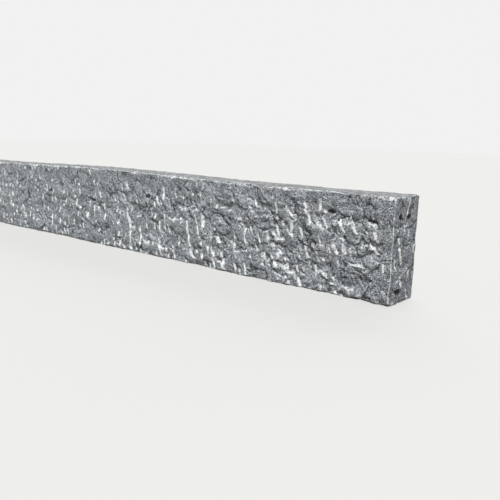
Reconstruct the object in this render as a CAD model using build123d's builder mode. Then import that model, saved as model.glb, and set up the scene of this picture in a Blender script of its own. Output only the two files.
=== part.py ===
from build123d import *
from math import cos, exp, hypot, pi
from random import Random
import os

# A kerb stone of split granite, one piece, standing on its bed. The long faces and the ends are
# rough pointed, the top is plain and the bed is flat, and the arrises are spalled all round.
# X runs along the stone, Y from the front face to the back, Z up from the bed. Millimetres.

# The block
length = 2000
width = 120
height = 250

# The top rises where the saw wandered, this far from the right-hand end
crown_rise = 8
crown_place = 1080
crown_reach = 400

# The split faces swell and fall along slanting lines
swell_depth = 3
swell_length = 610
swell_lean = 0.8

# The point leaves one flake beside the other, in rows that are staggered and uneven. Each is a
# shallow hollow that runs out deeper to one side, so the face is left with ridges and ledges.
flake_pitch = 62
flake_reach = 46
flake_depth = 7
flake_tilt = 0.14

# Flakes stray from their even places by this share of the pitch, and differ by these shares in size
flake_scatter = 0.35
flake_reaches = 0.8, 1.3
flake_depths = 0.4, 1.2

# Larger flakes on the front face: from the right-hand end, above the bed, reach, depth
large_flakes = [
    (64, 116, 52, 9),
    (178, 206, 60, 6),
    (284, 70, 62, 11),
    (338, 166, 50, 9),
    (522, 88, 70, 11),
    (700, 178, 70, 8),
    (900, 130, 88, 10),
    (1128, 146, 60, 11),
    (1390, 80, 80, 9),
    (1640, 165, 90, 10),
    (1850, 95, 70, 9),
]

# Spalls along the arrises, where the edge broke away under the tool
arris_wear = 1.2
spall_pitch = 64
spall_reach = 26
spall_depth = 8
spall_reaches = 0.5, 1.5
spall_depths = 0.2, 1

# The ends are hewn square with smaller flakes, and the long faces calm down towards them
end_wear = 2.5
end_flake_pitch = 46
end_flake_reach = 38
end_flake_depth = 4
end_calm = 0.25
end_calm_reach = 60

# Room that the waste cut off an end has around it
waste_margin = 15

# The mesh of facets that the chisel's work is drawn with
section_pitch = 24
facet_height = 21
facet_scatter = 0.28

chance = Random(11)


def either_way(most):
    """A chance amount, up to the most in either direction."""
    return chance.uniform(-most, most)


def wave(distance, wave_length):
    """From 0 to 1 and back again over one wave length."""
    return 0.5 - 0.5 * cos(2 * pi * distance / wave_length)


def scattered_flakes(face_length, pitch, reach, depth):
    """Flakes over one upright face, each as its place along and above, reach, depth and two tilts."""
    columns = round(face_length / pitch)
    rows = round(height / pitch)
    flakes = []
    for column in range(columns + 1):
        for row in range(rows + 1):
            along = (column + row / 2 % 1 + either_way(flake_scatter)) / columns - 0.5
            above = (row + either_way(flake_scatter)) / rows
            tilts = either_way(flake_tilt), either_way(flake_tilt)
            size = reach * chance.uniform(*flake_reaches), depth * chance.uniform(*flake_depths)
            flakes.append((along * face_length, above * height, *size, *tilts))
    return flakes


def spalls():
    """Spalls along one long arris, as (x, reach, depth)."""
    count = round(length / spall_pitch)
    arris = []
    for step in range(count):
        x = length * ((step + chance.random()) / count - 0.5)
        size = spall_reach * chance.uniform(*spall_reaches), spall_depth * chance.uniform(*spall_depths)
        arris.append((x, *size))
    return arris


def bite(distance, reach, depth):
    """The depth of a flake's hollow at a distance from its middle."""
    return depth * max(0, 1 - (distance / reach) ** 2)


def hewn(along, above, flakes):
    """How deep the flakes lie at one point of an upright face."""
    depths = [0]
    for at, level, reach, depth, tilt_along, tilt_above in flakes:
        from_middle = along - at, above - level
        run_out = tilt_along * from_middle[0] + tilt_above * from_middle[1]
        depths.append(bite(hypot(*from_middle), reach, depth + run_out))
    return max(depths)


def hollow(x, z, flakes, start):
    """How deep a long face lies inside the block at one point."""
    swell = swell_depth * wave(x + swell_lean * z + start, swell_length)
    from_end = length / 2 - abs(x)
    calm = 1 - (1 - end_calm) * exp(-((from_end / end_calm_reach) ** 2))
    return calm * (swell + hewn(x, z, flakes))


def arris_loss(x, arris):
    """How much of a long arris is broken away at one place along it."""
    return arris_wear + max(bite(abs(x - at), reach, depth) for at, reach, depth in arris)


def top(x):
    from_crown = (length / 2 - crown_place - x) / crown_reach
    return height + crown_rise * exp(-from_crown**2)


def face_line(x, inset, side, flakes, start, low_arris, high_arris):
    """One long face in section, from its bed arris to its top arris, with both broken away."""
    outer = width / 2 - inset
    low, high = inset, top(x) - inset
    low_loss, high_loss = arris_loss(x, low_arris), arris_loss(x, high_arris)
    rows = round(height / facet_height)
    points = []
    for row in range(rows + 1):
        share = row / rows
        if 0 < row < rows:
            share += either_way(facet_scatter) / rows
        z = low + low_loss + (high - low - low_loss - high_loss) * share
        points.append((side * (outer - hollow(x, z, flakes, start)), z))
    bed_point = (points[0][0] - side * low_loss, low)
    top_point = (points[-1][0] - side * high_loss, high)
    return [bed_point, *points, top_point]


def end_waste(side):
    """The waste that the point takes off one end, with the hewn end as its inner side."""
    flakes = scattered_flakes(width, end_flake_pitch, end_flake_reach, end_flake_depth)
    reach = width / 2 + waste_margin
    low, high = -waste_margin, height + crown_rise + waste_margin
    columns = round(2 * reach / section_pitch)
    rows = round((high - low) / facet_height)
    outer = side * (length / 2 + waste_margin)
    with BuildPart() as waste:
        for column in range(columns + 1):
            y = reach * (2 * column / columns - 1)
            levels = [low + (high - low) * row / rows for row in range(rows + 1)]
            hewn_line = [(side * (length / 2 - hewn(y, z, flakes)), z) for z in levels]
            with BuildSketch(Plane.XZ.offset(-y)):
                with BuildLine():
                    Polyline((outer, low), *hewn_line, (outer, high), close=True)
                make_face()
        loft(ruled=True)
    return waste.part


# Each section stands at a place along the stone, drawn in by the wear at the ends
section_count = round(length / section_pitch)
middle_sections = [
    ((step + either_way(facet_scatter)) * length / section_count - length / 2, 0)
    for step in range(1, section_count)
]
left_sections = [(-length / 2, end_wear), (end_wear - length / 2, 0)]
right_sections = [(length / 2 - end_wear, 0), (length / 2, end_wear)]

front_flakes = scattered_flakes(length, flake_pitch, flake_reach, flake_depth) + [
    (length / 2 - from_end, above, reach, depth, 0, 0) for from_end, above, reach, depth in large_flakes
]
back_flakes = scattered_flakes(length, flake_pitch, flake_reach, flake_depth)
front_arrises = spalls(), spalls()
back_arrises = spalls(), spalls()

with BuildPart() as kerb_stone:
    for x, inset in left_sections + middle_sections + right_sections:
        front = face_line(x, inset, -1, front_flakes, 0, *front_arrises)
        back = face_line(x, inset, 1, back_flakes, swell_length / 3, *back_arrises)
        with BuildSketch(Plane.YZ.offset(x)):
            with BuildLine():
                Polyline(*front, *back[::-1], close=True)
            make_face()
    loft(ruled=True)
    for side in (-1, 1):
        add(end_waste(side), mode=Mode.SUBTRACT)

kerb_stone.part.label = "kerb_stone"
os.makedirs("parts", exist_ok=True)
export_step(kerb_stone.part, "parts/kerb_stone.step")
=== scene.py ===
from math import radians

import bmesh
import bpy
from mathutils import Matrix, Vector


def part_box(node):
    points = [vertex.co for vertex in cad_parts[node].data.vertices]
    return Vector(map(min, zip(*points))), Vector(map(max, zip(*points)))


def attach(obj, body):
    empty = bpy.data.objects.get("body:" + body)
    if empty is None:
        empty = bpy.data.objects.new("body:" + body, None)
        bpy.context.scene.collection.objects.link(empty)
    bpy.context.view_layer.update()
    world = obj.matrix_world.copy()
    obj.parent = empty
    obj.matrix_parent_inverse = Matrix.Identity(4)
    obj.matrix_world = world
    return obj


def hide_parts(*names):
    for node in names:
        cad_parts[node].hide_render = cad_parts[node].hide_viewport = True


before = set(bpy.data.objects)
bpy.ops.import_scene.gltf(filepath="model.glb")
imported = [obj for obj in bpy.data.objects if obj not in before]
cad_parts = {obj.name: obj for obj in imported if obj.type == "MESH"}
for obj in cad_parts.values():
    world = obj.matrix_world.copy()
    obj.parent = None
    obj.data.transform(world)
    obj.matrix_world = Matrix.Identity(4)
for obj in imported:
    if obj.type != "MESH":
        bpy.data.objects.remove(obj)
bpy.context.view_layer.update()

# The block: one kerb stone of fine dark grey granite. It was split off a larger block, and its long
# faces and ends were roughed with hammer and point, a steel chisel that bruises the stone white.
# The solid carries its waves, flakes and spalled arrises. Here it gets a skin of small even cells.
stone_low, stone_high = (Vector(corner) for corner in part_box("kerb_stone"))
skin_cell = 0.0022
merge_distance = 0.00001

stone = bpy.data.objects.new("pointed_stone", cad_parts["kerb_stone"].data.copy())
bpy.context.scene.collection.objects.link(stone)
block = bmesh.new()
block.from_mesh(stone.data)
bmesh.ops.remove_doubles(block, verts=block.verts, dist=merge_distance)
block.to_mesh(stone.data)
block.free()
stone.data.materials.clear()

skin = stone.modifiers.new("skin", "REMESH")
skin.mode = "VOXEL"
skin.voxel_size = skin_cell

# The point's work: the mason drives the point down the face in leaning lines, one blow below the
# other. Each blow leaves a short furrow with a floor of crushed white stone, and lifts a flake
# beside it. The same rule cuts the furrows into the mesh and colours their floors in the material.
line_spacing = 0.029
line_drift_size = 0.11
line_drift = 0.05
blow_step = 0.038
blow_scatter = 0.62
furrow_half_lengths = 0.006, 0.020
furrow_half_width = 0.0056
furrow_turn = radians(15)
furrow_waver_size = 0.011
furrow_waver = 0.0045

# A furrow's wall starts and ends at these shares of its half width, and its ends taper off
# between these shares of its half length
furrow_wall = 1.15, 0.35
furrow_taper = 1.0, 0.75

# Towards the right-hand end the lines lean more, and the furrows are longer and fewer. Leaning and
# coarsening are where along the stone each change starts and ends.
leaning = -0.1, 0.7
line_leans = 0.04, 0.50
coarsening = -0.2, 0.6
left_length = 0.65
furrow_shares = 0.10, -0.05

# Furrows show in patches, fewer of them under the top arris and on the ends
furrow_patch_size = 0.125
furrow_patch_contrast = 1.5
shown_from = -0.05, 0.12
under_top_band = 0.235, 0.17
under_top_share = 0.35
end_share = 0.55

# Each side is worked on its own, so its lines start this many lines further on in the pattern. The
# ends' lines lean by this share. Where a long face meets an end, the work on both fades out.
end_reach = 0.012
end_lean = 0.3
end_shift = 11.3
side_shift = 31.7
corner_fade = 0.001, 0.009

# The chance tilt at which a flake is level: most run out deeper towards the right-hand end
level_flake = 0.25, 0.5, 0.5

# The blends start and end softly
smooth = {"interpolation_type": "SMOOTHSTEP"}


def add(tree, kind, inputs=(), **settings):
    """Adds a node with its settings and links, and gives its outputs. The inputs are values or
    other nodes' sockets, in the node's order or by name or number."""
    node = tree.nodes.new(kind)
    for name, value in settings.items():
        setattr(node, name, value)
    for key, value in inputs.items() if isinstance(inputs, dict) else enumerate(inputs):
        if isinstance(value, bpy.types.NodeSocket):
            tree.links.new(value, node.inputs[key])
        else:
            node.inputs[key].default_value = value
    return node.outputs


def pointing(tree, position):
    """From 0 beside a furrow to 1 on its floor, and how deep the flake beside it lies."""
    place = add(tree, "ShaderNodeSeparateXYZ", (position,))
    out = add(tree, "ShaderNodeMath", (place[0],), operation="ABSOLUTE")[0]
    end_start = stone_high.x - end_reach
    on_end = add(tree, "ShaderNodeMath", (out, end_start), operation="GREATER_THAN")[0]
    along = add(tree, "ShaderNodeMix", {0: on_end, 2: place[0], 3: place[1]})[0]
    through = add(tree, "ShaderNodeMix", {0: on_end, 2: place[1], 3: place[0]})[0]

    # Which line of blows a place lies in, and which blow of the line
    lean = add(tree, "ShaderNodeMapRange", (place[0], *leaning, *line_leans), **smooth)[0]
    less = add(tree, "ShaderNodeMath", (on_end, end_lean - 1, 1.0), operation="MULTIPLY_ADD")[0]
    lean = add(tree, "ShaderNodeMath", (lean, less), operation="MULTIPLY")[0]
    line = add(tree, "ShaderNodeMath", (lean, place[2], along), operation="MULTIPLY_ADD")[0]
    inputs = {"Vector": position, "Scale": 1 / line_drift_size, "Detail": 1.0}
    drift = add(tree, "ShaderNodeTexNoise", inputs)[0]
    drift = add(tree, "ShaderNodeMath", (drift, 0.5), operation="SUBTRACT")[0]
    line = add(tree, "ShaderNodeMath", (drift, line_drift, line), operation="MULTIPLY_ADD")[0]
    side = add(tree, "ShaderNodeMath", (through,), operation="SIGN")[0]
    side = add(tree, "ShaderNodeMath", (side, side_shift), operation="MULTIPLY")[0]
    side = add(tree, "ShaderNodeMath", (on_end, end_shift, side), operation="MULTIPLY_ADD")[0]
    lines = add(tree, "ShaderNodeMath", (line, 1 / line_spacing, side), operation="MULTIPLY_ADD")[0]
    blows = add(tree, "ShaderNodeMath", (place[2], blow_step), operation="DIVIDE")[0]
    grid = add(tree, "ShaderNodeCombineXYZ", (lines, blows))[0]
    inputs = {"Vector": grid, "Scale": 1.0, "Randomness": blow_scatter}
    blow = add(tree, "ShaderNodeTexVoronoi", inputs, voronoi_dimensions="2D")
    chance = add(tree, "ShaderNodeSeparateXYZ", (blow["Color"],))
    offset = add(tree, "ShaderNodeVectorMath", (grid, blow["Position"]), operation="SUBTRACT")[0]
    tilt = add(tree, "ShaderNodeVectorMath", (blow["Color"], level_flake), operation="SUBTRACT")[0]
    flake = add(tree, "ShaderNodeVectorMath", (offset, tilt), operation="DOT_PRODUCT")["Value"]

    # A furrow is a short wavering stroke, longer or shorter and turned a little by chance
    spacing = (line_spacing, blow_step, 0)
    offset = add(tree, "ShaderNodeVectorMath", (offset, spacing), operation="MULTIPLY")[0]
    turn = add(tree, "ShaderNodeMapRange", (chance[0], 0.0, 1.0, -furrow_turn, furrow_turn))[0]
    inputs = {"Vector": offset, "Angle": turn}
    stroke = add(tree, "ShaderNodeVectorRotate", inputs, rotation_type="Z_AXIS")[0]
    stroke = add(tree, "ShaderNodeSeparateXYZ", (stroke,))
    inputs = {"Vector": position, "Scale": 1 / furrow_waver_size, "Detail": 2.0}
    waver = add(tree, "ShaderNodeTexNoise", inputs)[0]
    waver = add(tree, "ShaderNodeMath", (waver, 0.5), operation="SUBTRACT")[0]
    across = add(tree, "ShaderNodeMath", (waver, furrow_waver, stroke[0]), operation="MULTIPLY_ADD")[0]
    across = add(tree, "ShaderNodeMath", (across,), operation="ABSOLUTE")[0]
    across = add(tree, "ShaderNodeMath", (across, furrow_half_width), operation="DIVIDE")[0]
    inputs = (chance[1], 0.0, 1.0, *furrow_half_lengths)
    half_length = add(tree, "ShaderNodeMapRange", inputs, **smooth)[0]
    inputs = (place[0], *coarsening, left_length, 1.0)
    shorter = add(tree, "ShaderNodeMapRange", inputs, **smooth)[0]
    half_length = add(tree, "ShaderNodeMath", (half_length, shorter), operation="MULTIPLY")[0]
    down = add(tree, "ShaderNodeMath", (stroke[1],), operation="ABSOLUTE")[0]
    down = add(tree, "ShaderNodeMath", (down, half_length), operation="DIVIDE")[0]
    body = add(tree, "ShaderNodeMapRange", (across, *furrow_wall), **smooth)[0]
    taper = add(tree, "ShaderNodeMapRange", (down, *furrow_taper), **smooth)[0]
    body = add(tree, "ShaderNodeMath", (body, taper), operation="MULTIPLY")[0]

    # Whether it shows, and how it fades out where a long face meets an end
    inputs = {"Vector": position, "Scale": 1 / furrow_patch_size, "Detail": 1.0}
    patch = add(tree, "ShaderNodeTexNoise", inputs)[0]
    more = add(tree, "ShaderNodeMapRange", (place[0], *coarsening, *furrow_shares), **smooth)[0]
    inputs = (patch, furrow_patch_contrast, more)
    share = add(tree, "ShaderNodeMath", inputs, operation="MULTIPLY_ADD")[0]
    inputs = (place[2], *under_top_band, under_top_share, 1.0)
    under_top = add(tree, "ShaderNodeMapRange", inputs, **smooth)[0]
    fewer = add(tree, "ShaderNodeMath", (on_end, end_share - 1, 1.0), operation="MULTIPLY_ADD")[0]
    for thinning in (under_top, fewer):
        share = add(tree, "ShaderNodeMath", (share, thinning), operation="MULTIPLY")[0]
    left_over = add(tree, "ShaderNodeMath", (share, chance[2]), operation="SUBTRACT")[0]
    shown = add(tree, "ShaderNodeMapRange", (left_over, *shown_from), **smooth)[0]
    inside = add(tree, "ShaderNodeMath", (out, end_start), operation="SUBTRACT")[0]
    inside = add(tree, "ShaderNodeMath", (inside,), operation="ABSOLUTE")[0]
    inside = add(tree, "ShaderNodeMapRange", (inside, *corner_fade), **smooth)[0]
    for factor in (shown, inside):
        body = add(tree, "ShaderNodeMath", (body, factor), operation="MULTIPLY")[0]
    return body, add(tree, "ShaderNodeMath", (flake, inside), operation="MULTIPLY")[0]


# The clearest marks on the stone, in millimetres. On the front face each goes from one place to
# another, as from the right-hand end and above the bed.
front_furrows = (
    (247, 216, 228, 170), (304, 200, 273, 172), (332, 206, 331, 184), (203, 227, 200, 204),
    (433, 127, 427, 71), (388, 123, 380, 101), (335, 145, 327, 123), (294, 144, 281, 130),
    (260, 151, 247, 131), (154, 127, 144, 104), (172, 121, 165, 106), (369, 77, 364, 56),
    (48, 163, 39, 147), (622, 146, 605, 84), (659, 124, 643, 56), (601, 71, 597, 25),
    (473, 118, 468, 64), (758, 132, 756, 87), (765, 217, 764, 182), (921, 85, 918, 29),
    (940, 141, 929, 99), (874, 80, 872, 30), (1110, 126, 1108, 97), (1381, 71, 1380, 36),
)
front_cracks = (
    (357, 189, 329, 151), (376, 130, 350, 140), (302, 160, 281, 143), (188, 163, 169, 152),
    (243, 148, 225, 139), (101, 81, 67, 62), (61, 66, 33, 89), (72, 10, 50, 9),
    (552, 100, 510, 78), (609, 152, 588, 163), (636, 190, 622, 169), (694, 82, 660, 63),
    (889, 156, 859, 146), (851, 147, 814, 153), (1146, 154, 1108, 143), (1024, 195, 999, 175),
)
front_pits = (180, 204, 163, 198), (63, 190, 51, 186), (1130, 150, 1120, 146), (843, 182, 833, 181)

# On the end each goes from one place to another, as from the front face and above the bed
end_furrows = (
    (73, 241, 55, 193), (64, 182, 62, 172), (30, 151, 44, 106), (46, 104, 52, 95), (90, 70, 88, 52),
)
end_cracks = (73, 237, 55, 195), (100, 120, 112, 108), (84, 42, 96, 34)
end_pits = (30, 203, 40, 199), (76, 201, 84, 200), (36, 30, 47, 27)

near_corner = Vector((stone_high.x, stone_low.y, stone_low.z))
tracings = {}
for name, on_front, on_end in (
    ("Furrows", front_furrows, end_furrows),
    ("Cracks", front_cracks, end_cracks),
    ("Pits", front_pits, end_pits),
):
    tracing = bpy.data.objects.new(name, bpy.data.meshes.new(name))
    bpy.context.scene.collection.objects.link(tracing)
    ends = [Vector((-mark[i], 0, mark[i + 1])) / 1000 for mark in on_front for i in (0, 2)]
    ends += [Vector((0, mark[i], mark[i + 1])) / 1000 for mark in on_end for i in (0, 2)]
    edges = [(i, i + 1) for i in range(0, len(ends), 2)]
    tracing.data.from_pydata([near_corner + end for end in ends], edges, [])
    tracings[name] = tracing

# The front face's marks hold this far behind it. Each mark strays from its middle line by up to
# about half its fray. A place counts as nearer to a mark than it is by the blur at most, so that
# none shows half-way between two marks, where the offsets on the mesh cancel out.
front_reach = 0.03
mark_fray_size = 0.009
mark_fray = 0.005
pit_fray = 0.016
mark_blur = 0.003

# The rule's furrows start this far from a traced one
clear_of_traced = 0.012, 0.020


def astray(tree, position, size, detail, reach):
    """A position led astray by cloudy noise, so that what is drawn from it runs unevenly."""
    inputs = {"Vector": position, "Scale": 1 / size, "Detail": detail}
    clouds = add(tree, "ShaderNodeTexNoise", inputs)["Color"]
    centred = add(tree, "ShaderNodeVectorMath", (clouds, (0.5, 0.5, 0.5)), operation="SUBTRACT")[0]
    inputs = (centred, (reach, reach, reach), position)
    return add(tree, "ShaderNodeVectorMath", inputs, operation="MULTIPLY_ADD")[0]


def beside_mark(tree, tracing, position):
    """Where a place lies beside the nearest mark of a kind: how far along, away in all, and up."""
    lines = add(tree, "GeometryNodeObjectInfo", (tracing,))["Geometry"]
    here = add(tree, "ShaderNodeSeparateXYZ", (position,))
    end_start, front_end = stone_high.x - end_reach, stone_low.y + front_reach
    on_end = add(tree, "ShaderNodeMath", (here[0], end_start), operation="GREATER_THAN")[0]
    on_front = add(tree, "ShaderNodeMath", (here[1], front_end), operation="LESS_THAN")[0]
    front = add(tree, "ShaderNodeCombineXYZ", (here[0], stone_low.y, here[2]))[0]
    end = add(tree, "ShaderNodeCombineXYZ", (stone_high.x, here[1], here[2]))[0]
    flat = add(tree, "ShaderNodeMix", {0: on_end, 4: front, 5: end}, data_type="VECTOR")[1]
    inputs = {0: lines, "Sample Position": flat}
    nearest = add(tree, "GeometryNodeProximity", inputs, target_element="EDGES")
    offset = add(tree, "ShaderNodeVectorMath", (flat, nearest["Position"]), operation="SUBTRACT")[0]
    offset = add(tree, "ShaderNodeSeparateXYZ", (offset,))
    along = add(tree, "ShaderNodeMath", (offset[0], offset[1]), operation="ADD")[0]
    marked = add(tree, "ShaderNodeMath", (on_end, on_front), operation="MAXIMUM")[0]
    unmarked = add(tree, "ShaderNodeMath", (1.0, marked), operation="SUBTRACT")[0]
    away = add(tree, "ShaderNodeMath", (unmarked, nearest["Distance"]), operation="ADD")[0]
    return add(tree, "ShaderNodeCombineXYZ", (along, away, offset[2]))[0]


def from_mark(tree, beside, position, fray):
    """The distance from the nearest mark's middle line, which wavers and frays by so much."""
    wavering = astray(tree, position, mark_fray_size, 3.0, fray)
    stray = add(tree, "ShaderNodeVectorMath", (wavering, position), operation="SUBTRACT")[0]
    offset = add(tree, "ShaderNodeVectorMath", (beside, stray), operation="ADD")[0]
    offset = add(tree, "ShaderNodeVectorMath", (offset, (1, 0, 1)), operation="MULTIPLY")[0]
    near = add(tree, "ShaderNodeVectorMath", (offset,), operation="LENGTH")["Value"]
    away = add(tree, "ShaderNodeSeparateXYZ", (beside,))[1]
    away = add(tree, "ShaderNodeMath", (away, mark_blur), operation="SUBTRACT")[0]
    return add(tree, "ShaderNodeMath", (near, away), operation="MAXIMUM")[0]


# Relief: flakes as tilted facets, ledges where a flake broke off in steps, pits where a cluster of
# grains was plucked out, cracks, and roughness down to grain size. It goes in and out from the
# solid's skin and never leaves the solid's box. The bed stays flat, and the top is only roughened.
relief = bpy.data.node_groups.new("pointed_relief", "GeometryNodeTree")
relief.interface.new_socket(name="Stone", in_out="INPUT", socket_type="NodeSocketGeometry")
sizes = {
    "Facet Size": 0.046,
    "Facet Depth": 0.030,
    "Splinter Size": 0.017,
    "Splinter Depth": 0.0150,
    "Ledge Size": 0.12,
    "Ledge Height": 0.0050,
    "Flake Height": 0.0060,
    "Furrow Depth": 0.0034,
    "Pit Size": 0.034,
    "Pit Depth": 0.0060,
    "Traced Pit Depth": 0.0070,
    "Crack Depth": 0.0050,
    "Rough Size": 0.013,
    "Rough Depth": 0.0040,
    "Deepest": 0.0065,
    "Proudest": 0.0025,
    "Chip Size": 0.028,
    "Chip Depth": 0.0065,
    "Wave Size": 0.045,
    "Wave Depth": 0.0060,
}
sockets = {}
for name, value in sizes.items():
    sockets[name] = relief.interface.new_socket(
        name=name, in_out="INPUT", socket_type="NodeSocketFloat"
    )
    sockets[name].default_value = value
for name in tracings:
    sockets[name] = relief.interface.new_socket(
        name=name, in_out="INPUT", socket_type="NodeSocketObject"
    )
sockets["Finish"] = relief.interface.new_socket(
    name="Finish", in_out="INPUT", socket_type="NodeSocketMaterial"
)
relief.interface.new_socket(name="Stone", in_out="OUTPUT", socket_type="NodeSocketGeometry")
given = add(relief, "NodeGroupInput")

# Which way the skin faces, with the cells' own steps blurred away. It tells the hewn faces, the
# bed, the plain top and the ends apart, and the level arrises from the upright ones.
hewn_from = 0.75, 0.35
level_from = 0.05, 0.25
bed_from = -0.35, -0.75
plain_from = 0.3, 0.7
arris_from = 0.85, 0.6
end_from = 0.3, 0.7

position = add(relief, "GeometryNodeInputPosition")[0]
normal = add(relief, "GeometryNodeInputNormal")[0]
inputs = {"Value": normal, "Iterations": 3}
blurred = add(relief, "GeometryNodeBlurAttribute", inputs, data_type="FLOAT_VECTOR")[0]
facing = add(relief, "ShaderNodeVectorMath", (blurred,), operation="NORMALIZE")[0]
square = add(relief, "ShaderNodeVectorMath", (facing, facing), operation="MULTIPLY")[0]
share = add(relief, "ShaderNodeSeparateXYZ", (square,))
turned = add(relief, "ShaderNodeSeparateXYZ", (facing,))
place = add(relief, "ShaderNodeSeparateXYZ", (position,))
hewn = add(relief, "ShaderNodeMapRange", (share[2], *hewn_from), **smooth)[0]
level = add(relief, "ShaderNodeMapRange", (share[2], *level_from), **smooth)[0]
bed = add(relief, "ShaderNodeMapRange", (turned[2], *bed_from), **smooth)[0]
plain = add(relief, "ShaderNodeMapRange", (turned[2], *plain_from), **smooth)[0]
largest = add(relief, "ShaderNodeMath", (share[0], share[1]), operation="MAXIMUM")[0]
largest = add(relief, "ShaderNodeMath", (largest, share[2]), operation="MAXIMUM")[0]
arris = add(relief, "ShaderNodeMapRange", (largest, *arris_from), **smooth)[0]

# The share of the full relief that each place gets. It grows again over the corner's reach.
under_top_relief = 0.45
end_relief = 0.6
arris_relief = 0.4
corner_relief = 0.3
corner_reach = 0.002, 0.032
left_relief = 0.5
top_relief = 0.40

inputs = (place[2], *under_top_band, under_top_relief, 1.0)
under_top = add(relief, "ShaderNodeMapRange", inputs, **smooth)[0]
calm_end = add(relief, "ShaderNodeMapRange", (share[0], *end_from, 1.0, end_relief), **smooth)[0]
inputs = (arris, arris_relief - 1, 1.0)
calm_arris = add(relief, "ShaderNodeMath", inputs, operation="MULTIPLY_ADD")[0]
out_along = add(relief, "ShaderNodeMath", (place[0],), operation="ABSOLUTE")[0]
out_across = add(relief, "ShaderNodeMath", (place[1],), operation="ABSOLUTE")[0]
in_along = add(relief, "ShaderNodeMath", (stone_high.x, out_along), operation="SUBTRACT")[0]
in_across = add(relief, "ShaderNodeMath", (stone_high.y, out_across), operation="SUBTRACT")[0]
from_corner = add(relief, "ShaderNodeMath", (in_along, in_across), operation="MAXIMUM")[0]
inputs = (from_corner, *corner_reach, corner_relief, 1.0)
calm_corner = add(relief, "ShaderNodeMapRange", inputs, **smooth)[0]
inputs = (place[0], *coarsening, left_relief, 1.0)
calm_left = add(relief, "ShaderNodeMapRange", inputs, **smooth)[0]

# The grain of the stone runs aslant, and so do its ledges and cracks
grain_lean = radians(-42)
crack_spacing = 0.11, 0.07, 0.042
crack_patch_size = 0.05
crack_patches = 0.40, 0.50


def facets(tree, place, size):
    """Flat facets, each tilted its own way: the depth, as a share of the size."""
    per_metre = add(tree, "ShaderNodeMath", (1.0, size), operation="DIVIDE")[0]
    grid = add(tree, "ShaderNodeVectorMath", {0: place, "Scale": per_metre}, operation="SCALE")[0]
    cell = add(tree, "ShaderNodeTexVoronoi", {"Vector": grid, "Scale": 1.0})
    offset = add(tree, "ShaderNodeVectorMath", (grid, cell["Position"]), operation="SUBTRACT")[0]
    inputs = (cell["Color"], (0.5, 0.5, 0.5))
    tilt = add(tree, "ShaderNodeVectorMath", inputs, operation="SUBTRACT")[0]
    return add(tree, "ShaderNodeVectorMath", (offset, tilt), operation="DOT_PRODUCT")["Value"]


def cracks(tree, place, position):
    """How far a place lies from the nearest crack, and from 0 to 1 whether cracks show there."""
    inputs = {"Vector": place, "Angle": grain_lean}
    aslant = add(tree, "ShaderNodeVectorRotate", inputs, rotation_type="Y_AXIS")[0]
    aslant = add(tree, "ShaderNodeVectorMath", (aslant, crack_spacing), operation="DIVIDE")[0]
    inputs = {"Vector": aslant, "Scale": 1.0}
    edge = add(tree, "ShaderNodeTexVoronoi", inputs, feature="DISTANCE_TO_EDGE")[0]
    inputs = {"Vector": position, "Scale": 1 / crack_patch_size, "Detail": 1.0}
    patch = add(tree, "ShaderNodeTexNoise", inputs)[0]
    return edge, add(tree, "ShaderNodeMapRange", (patch, *crack_patches), **smooth)[0]


# Facets, and splinters on them that are coarser in some patches than in others
stir_size = 0.035
splinter_patch_size = 0.077
splinter_patches = 0.38, 0.62
splinter_strengths = 0.25, 1.25

stirred = astray(relief, position, stir_size, 3.0, stir_size)
facet = facets(relief, stirred, given["Facet Size"])
splinter = facets(relief, stirred, given["Splinter Size"])
inputs = {"Vector": position, "Scale": 1 / splinter_patch_size, "Detail": 1.0}
rougher = add(relief, "ShaderNodeTexNoise", inputs)[0]
inputs = (rougher, *splinter_patches, *splinter_strengths)
rougher = add(relief, "ShaderNodeMapRange", inputs, **smooth)[0]
splinter = add(relief, "ShaderNodeMath", (splinter, rougher), operation="MULTIPLY")[0]

# Ledges go down in steps along the grain: treads that rise back, with a short riser between them
ledge_stretch = 0.7, 1.0, 1.5
ledge_steps = 8.0
ledge_riser = 0.76, 1.0
tread_rise = 0.85

inputs = {"Vector": stirred, "Angle": grain_lean}
aslant = add(relief, "ShaderNodeVectorRotate", inputs, rotation_type="Y_AXIS")[0]
aslant = add(relief, "ShaderNodeVectorMath", (aslant, ledge_stretch), operation="MULTIPLY")[0]
per_metre = add(relief, "ShaderNodeMath", (1.0, given["Ledge Size"]), operation="DIVIDE")[0]
slope = add(relief, "ShaderNodeTexNoise", {"Vector": aslant, "Scale": per_metre, "Detail": 2.0})[0]
slope = add(relief, "ShaderNodeMath", (slope, ledge_steps), operation="MULTIPLY")[0]
riser = add(relief, "ShaderNodeMath", (slope,), operation="FRACT")[0]
riser = add(relief, "ShaderNodeMapRange", (riser, *ledge_riser), **smooth)[0]
tread = add(relief, "ShaderNodeMath", (slope,), operation="FLOOR")[0]
ledge = add(relief, "ShaderNodeMath", (tread, riser), operation="ADD")[0]
ledge = add(relief, "ShaderNodeMath", (slope, -tread_rise, ledge), operation="MULTIPLY_ADD")[0]

# Pits, of which there are few, and cracks
pit_chance = 0.74, 0.80
pit_edge = 0.30, 0.10
crack_edge = 0.08, 0.01

per_metre = add(relief, "ShaderNodeMath", (1.0, given["Pit Size"]), operation="DIVIDE")[0]
cluster = add(relief, "ShaderNodeTexVoronoi", {"Vector": stirred, "Scale": per_metre})
chance = add(relief, "ShaderNodeSeparateXYZ", (cluster["Color"],))[0]
plucked = add(relief, "ShaderNodeMapRange", (chance, *pit_chance), **smooth)[0]
pit = add(relief, "ShaderNodeMapRange", (cluster["Distance"], *pit_edge), **smooth)[0]
for factor in (plucked, under_top):
    pit = add(relief, "ShaderNodeMath", (pit, factor), operation="MULTIPLY")[0]
edge, crack_patch = cracks(relief, stirred, position)
crack = add(relief, "ShaderNodeMapRange", (edge, *crack_edge), **smooth)[0]
crack = add(relief, "ShaderNodeMath", (crack, crack_patch), operation="MULTIPLY")[0]

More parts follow.
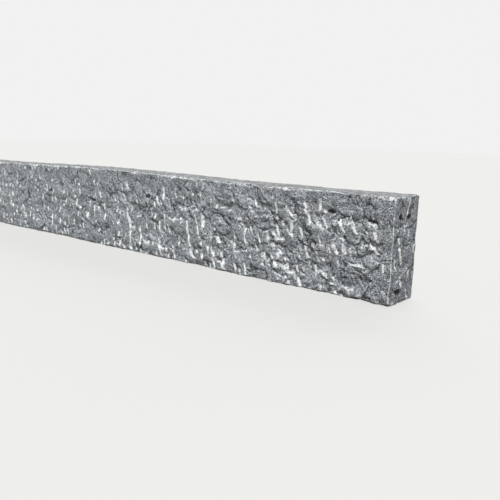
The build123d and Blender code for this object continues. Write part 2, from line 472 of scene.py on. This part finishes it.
# The traced marks come first, and the rule's furrows keep clear of the traced ones. A traced mark's
# wall starts and ends this far from its middle line.
traced_furrow_wall = 0.0055, 0.0020
traced_crack_wall = 0.0046, 0.0010
traced_pit_wall = 0.0090, 0.0030

beside = beside_mark(relief, given["Furrows"], position)
from_furrow = from_mark(relief, beside, position, mark_fray)
traced_furrow = add(relief, "ShaderNodeMapRange", (from_furrow, *traced_furrow_wall), **smooth)[0]
clear = add(relief, "ShaderNodeMapRange", (from_furrow, *clear_of_traced), **smooth)[0]
body, flake = pointing(relief, position)
body = add(relief, "ShaderNodeMath", (body, clear), operation="MULTIPLY")[0]
body = add(relief, "ShaderNodeMath", (body, traced_furrow), operation="MAXIMUM")[0]
beside = beside_mark(relief, given["Cracks"], position)
from_crack = from_mark(relief, beside, position, mark_fray)
traced_crack = add(relief, "ShaderNodeMapRange", (from_crack, *traced_crack_wall), **smooth)[0]
crack = add(relief, "ShaderNodeMath", (crack, traced_crack), operation="MAXIMUM")[0]
beside = beside_mark(relief, given["Pits"], position)
from_pit = from_mark(relief, beside, position, pit_fray)
traced_pit = add(relief, "ShaderNodeMapRange", (from_pit, *traced_pit_wall), **smooth)[0]
pit = add(relief, "ShaderNodeMath", (pit, traced_pit), operation="MAXIMUM")[0]
inputs = (traced_pit, given["Traced Pit Depth"])
deep_pit = add(relief, "ShaderNodeMath", inputs, operation="MULTIPLY")[0]

# All of it together as a depth, which ends softly at its deepest and its proudest
deep_blend = 0.003
proud_blend = 0.001

depth = add(relief, "ShaderNodeMath", (body, given["Furrow Depth"]), operation="MULTIPLY")[0]
for height, most in (
    (facet, "Facet Depth"),
    (splinter, "Splinter Depth"),
    (ledge, "Ledge Height"),
    (flake, "Flake Height"),
    (pit, "Pit Depth"),
    (crack, "Crack Depth"),
):
    depth = add(relief, "ShaderNodeMath", (height, given[most], depth), operation="MULTIPLY_ADD")[0]
proudest = add(relief, "ShaderNodeMath", (given["Proudest"], -1.0), operation="MULTIPLY")[0]
inputs = (depth, given["Deepest"], deep_blend)
depth = add(relief, "ShaderNodeMath", inputs, operation="SMOOTH_MIN")[0]
depth = add(relief, "ShaderNodeMath", (depth, proudest, proud_blend), operation="SMOOTH_MAX")[0]
depth = add(relief, "ShaderNodeMath", (depth, deep_pit), operation="ADD")[0]
for factor in (under_top, calm_end, calm_arris, calm_corner, calm_left, hewn):
    depth = add(relief, "ShaderNodeMath", (depth, factor), operation="MULTIPLY")[0]

per_metre = add(relief, "ShaderNodeMath", (1.0, given["Rough Size"]), operation="DIVIDE")[0]
inputs = {"Vector": position, "Scale": per_metre, "Detail": 5.0, "Roughness": 0.6}
rough = add(relief, "ShaderNodeTexNoise", inputs)[0]
rough = add(relief, "ShaderNodeMath", (rough, 0.5), operation="SUBTRACT")[0]
rough = add(relief, "ShaderNodeMath", (rough, given["Rough Depth"]), operation="MULTIPLY")[0]
rough_here = add(relief, "ShaderNodeMapRange", (hewn, 0.0, 1.0, top_relief, 1.0), **smooth)[0]
rough_here = add(relief, "ShaderNodeMath", (rough_here, calm_end), operation="MULTIPLY")[0]
depth = add(relief, "ShaderNodeMath", (rough, rough_here, depth), operation="MULTIPLY_ADD")[0]

# The top waves a little. All the rest of the skin comes out by a share of the waves' depth, so
# that its relief lies about as far outside the solid's skin as inside it.
lift = 0.35

per_metre = add(relief, "ShaderNodeMath", (1.0, given["Wave Size"]), operation="DIVIDE")[0]
wave = add(relief, "ShaderNodeTexNoise", {"Vector": position, "Scale": per_metre, "Detail": 4.0})[0]
wave = add(relief, "ShaderNodeMath", (wave, plain), operation="MULTIPLY")[0]
wave = add(relief, "ShaderNodeMath", (wave, lift), operation="SUBTRACT")[0]
inputs = (wave, given["Wave Depth"], depth)
depth = add(relief, "ShaderNodeMath", inputs, operation="MULTIPLY_ADD")[0]

# The arrises are chipped, least where they stand upright
chipped_from = 0.44, 0.66
upright_chips = 0.15

per_metre = add(relief, "ShaderNodeMath", (1.0, given["Chip Size"]), operation="DIVIDE")[0]
chip = add(relief, "ShaderNodeTexNoise", {"Vector": position, "Scale": per_metre, "Detail": 3.0})[0]
chip = add(relief, "ShaderNodeMapRange", (chip, *chipped_from), **smooth)[0]
inputs = (level, 1 - upright_chips, upright_chips)
level_chips = add(relief, "ShaderNodeMath", inputs, operation="MULTIPLY_ADD")[0]
for factor in (arris, level_chips):
    chip = add(relief, "ShaderNodeMath", (chip, factor), operation="MULTIPLY")[0]
inputs = (chip, given["Chip Depth"], depth)
depth = add(relief, "ShaderNodeMath", inputs, operation="MULTIPLY_ADD")[0]
off_bed = add(relief, "ShaderNodeMath", (1.0, bed), operation="SUBTRACT")[0]
depth = add(relief, "ShaderNodeMath", (depth, off_bed), operation="MULTIPLY")[0]

# The skin moves in by its depth and stays in the solid's box
inputs = {"Value": depth, "Iterations": 1}
depth = add(relief, "GeometryNodeBlurAttribute", inputs, data_type="FLOAT")[0]
outwards = add(relief, "ShaderNodeMath", (depth, -1.0), operation="MULTIPLY")[0]
move = add(relief, "ShaderNodeVectorMath", {0: facing, "Scale": outwards}, operation="SCALE")[0]
target = add(relief, "ShaderNodeVectorMath", (position, move), operation="ADD")[0]
target = add(relief, "ShaderNodeVectorMath", (target, stone_low), operation="MAXIMUM")[0]
target = add(relief, "ShaderNodeVectorMath", (target, stone_high), operation="MINIMUM")[0]
inputs = {"Geometry": given["Stone"], "Position": target}
worked = add(relief, "GeometryNodeSetPosition", inputs)[0]
upright = add(relief, "ShaderNodeMath", (1.0, level), operation="SUBTRACT")[0]
upright = add(relief, "ShaderNodeMath", (arris, upright), operation="MULTIPLY")[0]
# The pit mask is kept as plucked for the material, which paints shade into the pits
for name, value in {"hewn": hewn, "arris": arris, "upright": upright, "plucked": pit}.items():
    inputs = {"Geometry": worked, "Name": name, "Value": value}
    worked = add(
        relief, "GeometryNodeStoreNamedAttribute", inputs, data_type="FLOAT", domain="POINT"
    )[0]
worked = add(relief, "GeometryNodeRealizeInstances", (worked,))[0]
inputs = {"Geometry": worked, "Material": given["Finish"]}
worked = add(relief, "GeometryNodeSetMaterial", inputs)[0]
add(relief, "NodeGroupOutput", (worked,))

# The traced marks' places are written on the finished mesh, for the material to read
marking = bpy.data.node_groups.new("traced_marks", "GeometryNodeTree")
marking.interface.new_socket(name="Stone", in_out="INPUT", socket_type="NodeSocketGeometry")
kinds = {**dict.fromkeys(tracings, "NodeSocketObject"), "Finish": "NodeSocketMaterial"}
marking_sockets = {}
for name, kind in kinds.items():
    marking_sockets[name] = marking.interface.new_socket(
        name=name, in_out="INPUT", socket_type=kind
    )
marking.interface.new_socket(name="Stone", in_out="OUTPUT", socket_type="NodeSocketGeometry")
given = add(marking, "NodeGroupInput")
position = add(marking, "GeometryNodeInputPosition")[0]
marked = given["Stone"]
for name in tracings:
    beside = beside_mark(marking, given[name], position)
    inputs = {"Geometry": marked, "Name": f"beside_{name.lower()}", "Value": beside}
    marked = add(
        marking, "GeometryNodeStoreNamedAttribute", inputs, data_type="FLOAT_VECTOR", domain="POINT"
    )[0]
marked = add(marking, "GeometryNodeRealizeInstances", (marked,))[0]
inputs = {"Geometry": marked, "Material": given["Finish"]}
marked = add(marking, "GeometryNodeSetMaterial", inputs)[0]
add(marking, "NodeGroupOutput", (marked,))

# Granite, rough pointed: fine grey feldspar and quartz with black mica between them, broken and not
# polished, so it is matt and speckled all over. Where the point struck, and along the arrises, the
# grains are crushed to white powder. Cracks and plucked pits get painted shade. Dust dulls the sawn
# top.

# The real grains are about 1 mm across, too fine to show, so they are drawn about twice as coarse
grain = 0.0019
grain_fray = 0.0012
mica_flake = 0.0013
mica_share = 0.15, 0.10
mica_tone = 0.35
cloud_size = 0.05
cloud_patches = 0.3, 0.7
cloud_tones = 0.89, 1.18
speckle_size = 0.014
speckle_patches = 0.32, 0.68
speckle_tones = 0.86, 1.10


def colour(code):
    """A linear colour from an sRGB hex value."""
    parts = [int(code[i : i + 2], 16) / 255 for i in (1, 3, 5)]
    return [p / 12.92 if p <= 0.04045 else ((p + 0.055) / 1.055) ** 2.4 for p in parts] + [1.0]


granite = bpy.data.materials.new("granite_rough_pointed")
granite.use_nodes = True
look = granite.node_tree
look.nodes.clear()
place = add(look, "ShaderNodeTexCoord")["Object"]
ragged = astray(look, place, grain, 2.0, grain_fray)
crystal = add(look, "ShaderNodeTexVoronoi", {"Vector": ragged, "Scale": 1 / grain})["Color"]
crystal = add(look, "ShaderNodeSeparateXYZ", (crystal,))[0]
mineral = add(look, "ShaderNodeValToRGB", (crystal,))[0]
stops = mineral.node.color_ramp.elements
stops[0].color = colour("#2A2D31")
stops[1].color = colour("#DDE1E3")
for at, code in ((0.15, "#3F4247"), (0.27, "#7E8389"), (0.64, "#93989D"), (0.84, "#B6BBBE")):
    stops.new(at).color = colour(code)
mica = add(look, "ShaderNodeTexVoronoi", {"Vector": ragged, "Scale": 1 / mica_flake})["Color"]
mica = add(look, "ShaderNodeSeparateXYZ", (mica,))[0]
mica = add(look, "ShaderNodeMapRange", (mica, *mica_share, 1.0, mica_tone))[0]
inputs = {"Vector": place, "Scale": 1 / cloud_size, "Detail": 4.0}
clouds = add(look, "ShaderNodeTexNoise", inputs)[0]
clouds = add(look, "ShaderNodeMapRange", (clouds, *cloud_patches, *cloud_tones), **smooth)[0]
inputs = {"Vector": place, "Scale": 1 / speckle_size, "Detail": 3.0}
speckle = add(look, "ShaderNodeTexNoise", inputs)[0]
inputs = (speckle, *speckle_patches, *speckle_tones)
speckle = add(look, "ShaderNodeMapRange", inputs, **smooth)[0]
tone = add(look, "ShaderNodeMath", (clouds, speckle), operation="MULTIPLY")[0]
tone = add(look, "ShaderNodeMath", (tone, mica), operation="MULTIPLY")[0]
fresh = add(look, "ShaderNodeVectorMath", {0: mineral, "Scale": tone}, operation="SCALE")[0]

# The top is mottled with dirt and dulled by dust
dirt_size = 0.017
dirt_patches = 0.38, 0.64
dirt_tones = 0.44, 0.98
top_dust = 0.15

hewn_here = add(look, "ShaderNodeAttribute", attribute_name="hewn")["Fac"]
plain_here = add(look, "ShaderNodeMath", (1.0, hewn_here), operation="SUBTRACT")[0]
dirt = add(look, "ShaderNodeTexNoise", {"Vector": place, "Scale": 1 / dirt_size, "Detail": 4.0})[0]
dirt = add(look, "ShaderNodeMapRange", (dirt, *dirt_patches, *dirt_tones), **smooth)[0]
dulled = add(look, "ShaderNodeVectorMath", {0: fresh, "Scale": dirt}, operation="SCALE")[0]
inputs = {0: top_dust, 6: dulled, 7: colour("#98958A")}
dulled = add(look, "ShaderNodeMix", inputs, data_type="RGBA")[2]
inputs = {0: plain_here, 6: fresh, 7: dulled}
stone_colour = add(look, "ShaderNodeMix", inputs, data_type="RGBA")[2]

# Painted shade in cracks and pits, from the rule and from the tracing, standing in for their shadows.
# A traced one gets painted shade between these distances from its middle line.
crack_shade_line = 0.036, 0.010
traced_crack_shade_line = 0.0026, 0.0010
crack_shade_strength = 0.80
traced_pit_shade = 0.0078, 0.0052
pit_shade_strength = 0.92

stirred = astray(look, place, stir_size, 3.0, stir_size)
edge, crack_patch = cracks(look, stirred, place)
painted_shade = add(look, "ShaderNodeMapRange", (edge, *crack_shade_line), **smooth)[0]
painted_shade = add(look, "ShaderNodeMath", (painted_shade, crack_patch), operation="MULTIPLY")[0]
# The pits' mask from the relief, where painted shade goes
shaded_pit_here = add(look, "ShaderNodeAttribute", attribute_name="plucked")["Fac"]
painted_shade = add(look, "ShaderNodeMath", (painted_shade, shaded_pit_here), operation="MAXIMUM")[0]
painted_shade = add(look, "ShaderNodeMath", (painted_shade, hewn_here), operation="MULTIPLY")[0]
beside = add(look, "ShaderNodeAttribute", attribute_name="beside_cracks")["Vector"]
from_crack = from_mark(look, beside, place, mark_fray)
traced_crack = add(look, "ShaderNodeMapRange", (from_crack, *traced_crack_shade_line), **smooth)[0]
painted_shade = add(look, "ShaderNodeMath", (painted_shade, traced_crack), operation="MAXIMUM")[0]
painted_shade = add(look, "ShaderNodeMath", (painted_shade, crack_shade_strength), operation="MULTIPLY")[0]
beside = add(look, "ShaderNodeAttribute", attribute_name="beside_pits")["Vector"]
from_pit = from_mark(look, beside, place, pit_fray)
inputs = (from_pit, *traced_pit_shade, 0.0, pit_shade_strength)
traced_pit = add(look, "ShaderNodeMapRange", inputs, **smooth)[0]
painted_shade = add(look, "ShaderNodeMath", (painted_shade, traced_pit), operation="MAXIMUM")[0]
# The near-black colour is painted shade, standing in for the shadows in the cracks and pits
inputs = {0: painted_shade, 6: stone_colour, 7: colour("#15171A")}
stone_colour = add(look, "ShaderNodeMix", inputs, data_type="RGBA")[2]

# Crushed white stone on the floors of the furrows. It comes in clumps, and a grain turns white
# only where the blow was hard enough for it, so a bruise has a ragged, grainy edge.
crush_size = 0.0045
crush_clumps = 0.36, 0.58
clump_strengths = 0.60, 1.15
struck_from = 0.05, 0.30
crystal_strength = 0.80
crushed_from = 0.80, 1.20
traced_furrow_floor = 0.0056, 0.0024

inputs = {"Vector": place, "Scale": 1 / crush_size, "Detail": 3.0}
crush = add(look, "ShaderNodeTexNoise", inputs)[0]
body, _ = pointing(look, place)
beside = add(look, "ShaderNodeAttribute", attribute_name="beside_furrows")["Vector"]
from_furrow = from_mark(look, beside, place, mark_fray)
clear = add(look, "ShaderNodeMapRange", (from_furrow, *clear_of_traced), **smooth)[0]
for factor in (clear, hewn_here):
    body = add(look, "ShaderNodeMath", (body, factor), operation="MULTIPLY")[0]
traced_furrow = add(look, "ShaderNodeMapRange", (from_furrow, *traced_furrow_floor), **smooth)[0]
body = add(look, "ShaderNodeMath", (body, traced_furrow), operation="MAXIMUM")[0]
struck = add(look, "ShaderNodeMapRange", (body, *struck_from), **smooth)[0]
clumps = add(look, "ShaderNodeMapRange", (crush, *crush_clumps, *clump_strengths), **smooth)[0]
blow = add(look, "ShaderNodeMath", (body, clumps), operation="MULTIPLY")[0]
blow = add(look, "ShaderNodeMath", (crystal, crystal_strength, blow), operation="MULTIPLY_ADD")[0]
bruise = add(look, "ShaderNodeMapRange", (blow, *crushed_from), **smooth)[0]
bruise = add(look, "ShaderNodeMath", (bruise, struck), operation="MULTIPLY")[0]

# The arrises are dusted white too, in a finer and more even line where they stand upright
dusted_from = 0.25, 0.9
arris_dust = 0.75
dust_clumps = 0.39, 0.56
sharp_from = 0.45, 0.85
upright_dust = 0.70
sharp_clumps = 0.24, 0.42

arris_here = add(look, "ShaderNodeAttribute", attribute_name="arris")["Fac"]
dust = add(look, "ShaderNodeMapRange", (arris_here, *dusted_from, 0.0, arris_dust), **smooth)[0]
dust_clump = add(look, "ShaderNodeMapRange", (crush, *dust_clumps), **smooth)[0]
dust = add(look, "ShaderNodeMath", (dust, dust_clump), operation="MULTIPLY")[0]
upright_here = add(look, "ShaderNodeAttribute", attribute_name="upright")["Fac"]
inputs = (upright_here, *sharp_from, 0.0, upright_dust)
sharp = add(look, "ShaderNodeMapRange", inputs, **smooth)[0]
sharp_clump = add(look, "ShaderNodeMapRange", (crush, *sharp_clumps), **smooth)[0]
sharp = add(look, "ShaderNodeMath", (sharp, sharp_clump), operation="MULTIPLY")[0]
white = add(look, "ShaderNodeMath", (bruise, dust), operation="MAXIMUM")[0]
white = add(look, "ShaderNodeMath", (white, sharp), operation="MAXIMUM")[0]
inputs = {0: white, 6: stone_colour, 7: colour("#ECEEED")}
stone_colour = add(look, "ShaderNodeMix", inputs, data_type="RGBA")[2]

# Torn grains stand out by up to 4 mm on the hewn faces, and by about half as much on the top
torn_size = 0.008
torn_heights = 0.0022, 0.0040
crystal_height = 0.10

inputs = {"Vector": place, "Scale": 1 / torn_size, "Detail": 6.0, "Roughness": 0.72}
torn = add(look, "ShaderNodeTexNoise", inputs)[0]
torn = add(look, "ShaderNodeMath", (crystal, crystal_height, torn), operation="MULTIPLY_ADD")[0]
torn_height = add(look, "ShaderNodeMapRange", (hewn_here, 0.0, 1.0, *torn_heights))[0]
inputs = {"Height": torn, "Distance": torn_height, "Strength": 1.0}
bump = add(look, "ShaderNodeBump", inputs)[0]
inputs = {"Base Color": stone_colour, "Roughness": 0.85, "Normal": bump}
surface = add(look, "ShaderNodeBsdfPrincipled", inputs)[0]
add(look, "ShaderNodeOutputMaterial", (surface,))

# The stone is worked, thinned to fewer triangles, marked and kept inside its box
most_triangles = 190000
sharp_edge = radians(32)

dressing = stone.modifiers.new("relief", "NODES")
dressing.node_group = relief
values = {**sizes, **tracings, "Finish": granite}
for name, socket in sockets.items():
    dressing[socket.identifier] = values[name]
depsgraph = bpy.context.evaluated_depsgraph_get()
stone.data = bpy.data.meshes.new_from_object(stone.evaluated_get(depsgraph))
stone.modifiers.clear()
stone.data.calc_loop_triangles()
thin = stone.modifiers.new("thin", "DECIMATE")
thin.ratio = min(1.0, most_triangles / len(stone.data.loop_triangles))
marks = stone.modifiers.new("marks", "NODES")
marks.node_group = marking
for name, socket in marking_sockets.items():
    marks[socket.identifier] = values[name]
depsgraph = bpy.context.evaluated_depsgraph_get()
stone.data = bpy.data.meshes.new_from_object(stone.evaluated_get(depsgraph))
stone.modifiers.clear()
for vertex in stone.data.vertices:
    limits = zip(vertex.co, stone_low, stone_high)
    vertex.co = [min(max(at, low), high) for at, low, high in limits]
stone.data.shade_smooth()
stone.data.set_sharp_from_angle(angle=sharp_edge)
for tracing in tracings.values():
    bpy.data.meshes.remove(tracing.data)

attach(stone, "root")
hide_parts("kerb_stone")

# The stage: a pale floor that runs out into a pale backdrop. The floor is darker for the light that
# it throws back at the stone than for the camera, so it stays pale without brightening the stone.
floor_half_size = 30

floor = bpy.data.objects.new("floor", bpy.data.meshes.new("floor"))
bpy.context.scene.collection.objects.link(floor)
ground = bmesh.new()
bmesh.ops.create_grid(ground, x_segments=1, y_segments=1, size=floor_half_size)
ground.to_mesh(floor.data)
ground.free()
pale = bpy.data.materials.new("pale_floor")
pale.use_nodes = True
paper = pale.node_tree
paper.nodes.clear()
seen = add(paper, "ShaderNodeLightPath")["Is Camera Ray"]
inputs = {0: seen, 6: colour("#8E8E8C"), 7: colour("#CBCBC9")}
shade = add(paper, "ShaderNodeMix", inputs, data_type="RGBA")[2]
matt = add(paper, "ShaderNodeBsdfDiffuse", {"Color": shade, "Roughness": 0.0})[0]
add(paper, "ShaderNodeOutputMaterial", (matt,))
floor.data.materials.append(pale)

# Soft light from all around, one sun-like lamp from the front right and a wide soft one from behind
around_strength = 0.31
backdrop_strength = 0.88

world = bpy.data.worlds.new("studio")
bpy.context.scene.world = world
world.use_nodes = True
sky = world.node_tree
sky.nodes.clear()
rays = add(sky, "ShaderNodeLightPath")
seen = rays["Is Camera Ray"]
for kind in ("Is Glossy Ray", "Is Transmission Ray"):
    seen = add(sky, "ShaderNodeMath", (seen, rays[kind]), operation="MAXIMUM")[0]
strength = add(sky, "ShaderNodeMix", {0: seen, 2: around_strength, 3: backdrop_strength})[0]
backdrop = add(sky, "ShaderNodeBackground", {"Color": (1, 1, 1, 1), "Strength": strength})[0]
add(sky, "ShaderNodeOutputWorld", (backdrop,))

for name, strength, width, travel in (
    ("key_light", 4.0, radians(5), (-0.33, 0.52, -0.79)),
    ("fill_light", 1.2, radians(60), (0.40, -0.85, -0.35)),
):
    lamp = bpy.data.objects.new(name, bpy.data.lights.new(name, "SUN"))
    bpy.context.scene.collection.objects.link(lamp)
    lamp.data.energy = strength
    lamp.data.angle = width
    lamp.rotation_euler = Vector(travel).to_track_quat("-Z", "Y").to_euler()

# The camera stands to the right in front of the near end, a little above the stone's top
camera = bpy.data.objects.new("camera", bpy.data.cameras.new("camera"))
bpy.context.scene.collection.objects.link(camera)
camera_from_corner = Vector((0.587, -1.199, 0.362))
turn, dip, roll = radians(39.8), radians(10.44), radians(1.69)
camera.matrix_world = (
    Matrix.Translation(near_corner + camera_from_corner)
    @ Matrix.Rotation(turn, 4, "Z")
    @ Matrix.Rotation(radians(90) - dip, 4, "X")
    @ Matrix.Rotation(roll, 4, "Z")
)
camera.data.sensor_width = 36
camera.data.lens = 42.74
bpy.context.scene.camera = camera
bpy.context.scene.view_settings.view_transform = "Standard"
